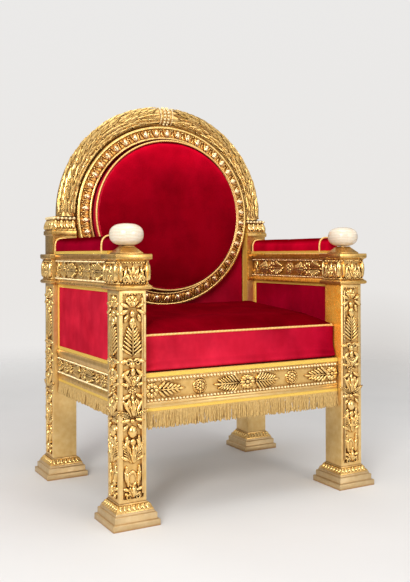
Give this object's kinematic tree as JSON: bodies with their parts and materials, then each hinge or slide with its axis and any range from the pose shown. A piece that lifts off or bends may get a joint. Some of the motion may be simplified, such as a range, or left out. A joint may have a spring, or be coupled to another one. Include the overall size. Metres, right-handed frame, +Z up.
{
  "type": "throne",
  "caption": "Gilded armchair throne with square carved posts, a laurel arch over a round velvet back, padded arms, ivory knobs and a braid-trimmed fringed seat.",
  "frame": {"origin": "on the floor, at the middle of the footprint of the four feet", "axes": "+Z up, +X across the throne towards the viewer's right as seen from the front, front at -Y"},
  "size_m": [0.893, 0.689, 1.2548],
  "materials": {
    "gold_leaf": "water-gilded carved wood, burnished on the raised carving and satin on the plain faces",
    "velvet": "crimson cotton velvet with an upright pile that shades in vertical streaks",
    "gold_braid": "woven yellow-gold galloon and cord piping",
    "gold_fringe": "pale gold twisted bullion fringe",
    "ivory": "polished ivory-white turned knob with faint grain",
    "webbing": "plain jute webbing and hessian under the seat"
  },
  "bodies": {
    "root": {"foot_front_left": "gold_leaf", "foot_front_right": "gold_leaf", "foot_rear_left": "gold_leaf", "foot_rear_right": "gold_leaf", "post_front_left": "gold_leaf", "post_front_right": "gold_leaf", "post_rear_left": "gold_leaf", "post_rear_right": "gold_leaf", "knob_left": "ivory", "knob_right": "ivory", "arm_rail_left": "gold_leaf", "arm_rail_right": "gold_leaf", "arm_pad_left": "velvet", "arm_pad_right": "velvet", "arm_braid_left": "gold_braid", "arm_braid_right": "gold_braid", "seat_rail_left": "gold_leaf", "seat_rail_right": "gold_leaf", "seat_rail_front": "gold_leaf", "seat_rail_back": "gold_leaf", "side_panel_left": "velvet", "side_panel_right": "velvet", "outer_braid_left": "gold_braid", "outer_braid_right": "gold_braid", "inner_braid_left": "gold_braid", "inner_braid_right": "gold_braid", "fringe_left": "gold_fringe", "fringe_right": "gold_fringe", "fringe_front": "gold_fringe", "seat_deck": "webbing", "seat_cushion": "velvet", "seat_braid": "gold_braid", "laurel_arch": "gold_leaf", "medallion_ring": "gold_leaf", "back_panel": "velvet", "back_pad": "velvet", "back_braid": "gold_braid"}
  },
  "joints": []
}
